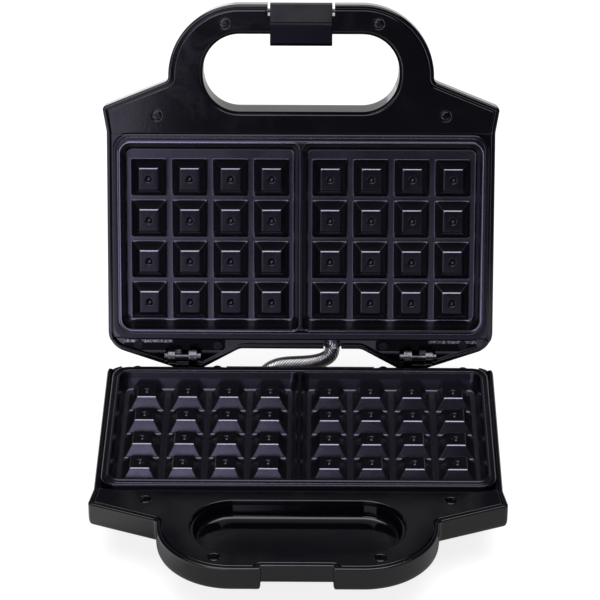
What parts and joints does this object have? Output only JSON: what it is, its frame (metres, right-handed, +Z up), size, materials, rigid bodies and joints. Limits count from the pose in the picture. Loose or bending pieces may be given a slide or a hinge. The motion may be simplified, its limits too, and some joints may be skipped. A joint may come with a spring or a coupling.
{
  "type": "waffle maker",
  "caption": "Two-slice clamshell waffle maker, lid open, with cast waffle plates, rear hinges, front latch and finger holes.",
  "frame": {"origin": "centre of the open waffle maker's bounding box, on the table under its feet", "axes": "+Z up, +X to the right of someone facing the latch and handle, +Y towards the hinges at the rear"},
  "size_m": [0.2308, 0.2878, 0.2416],
  "materials": {
    "black_shell": "glossy",
    "black_panel": "glossy",
    "nonstick": "satin",
    "heater_steel": "satin",
    "reflector_steel": "bright",
    "ceramic": "satin",
    "zinc_screw": "satin",
    "black_screw": "satin",
    "rubber_foot": "matte",
    "hinge_black": "satin",
    "pin_steel": "bright",
    "gland_black": "matte",
    "terminal_white": "matte",
    "conduit_winding": "satin",
    "red_lens": "glossy",
    "green_lens": "glossy",
    "latch_grey": "satin"
  },
  "bodies": {
    "base": {"base_shell": "black_shell", "base_panel": "black_panel", "lower_plate": "nonstick", "lower_element": "heater_steel", "lower_reflector": "reflector_steel", "lower_thermostat": "ceramic", "lower_thermal_fuse": "ceramic", "lower_plate_screws": "zinc_screw", "base_panel_screws": "black_screw", "feet": "rubber_foot", "foot_screws": "zinc_screw", "base_hinge_left": "hinge_black", "base_hinge_right": "hinge_black", "hinge_pin_left": "pin_steel", "hinge_pin_right": "pin_steel", "base_hinge_screws": "black_screw", "terminal_block": "terminal_white", "cord_gland": "gland_black", "conduit_collar": "gland_black", "flex_conduit": "conduit_winding"},
    "lid": {"lid_shell": "black_shell", "lid_panel": "black_panel", "upper_plate": "nonstick", "upper_element": "heater_steel", "upper_reflector": "reflector_steel", "upper_thermal_fuse": "ceramic", "upper_plate_screws": "zinc_screw", "lid_panel_screws": "black_screw", "lid_hinge_left": "hinge_black", "lid_hinge_right": "hinge_black", "lid_hinge_screws": "black_screw", "power_lens": "red_lens", "ready_lens": "green_lens", "lamp_holder": "terminal_white", "latch_pin": "pin_steel"},
    "latch": {"latch_clip": "latch_grey"}
  },
  "joints": [
    {"name": "lid_hinge", "type": "hinge", "parent": "base", "child": "lid", "pos_m": [0, 0.06495, 0.042], "axis": [1, 0, 0], "range_deg": [0, 107.5], "deforming": ["flex_conduit"]},
    {"name": "latch_swing", "type": "hinge", "parent": "lid", "child": "latch", "pos_m": [0, 0.13155, 0.23595], "axis": [-1, 0, 0], "range_deg": [0, 115]}
  ]
}
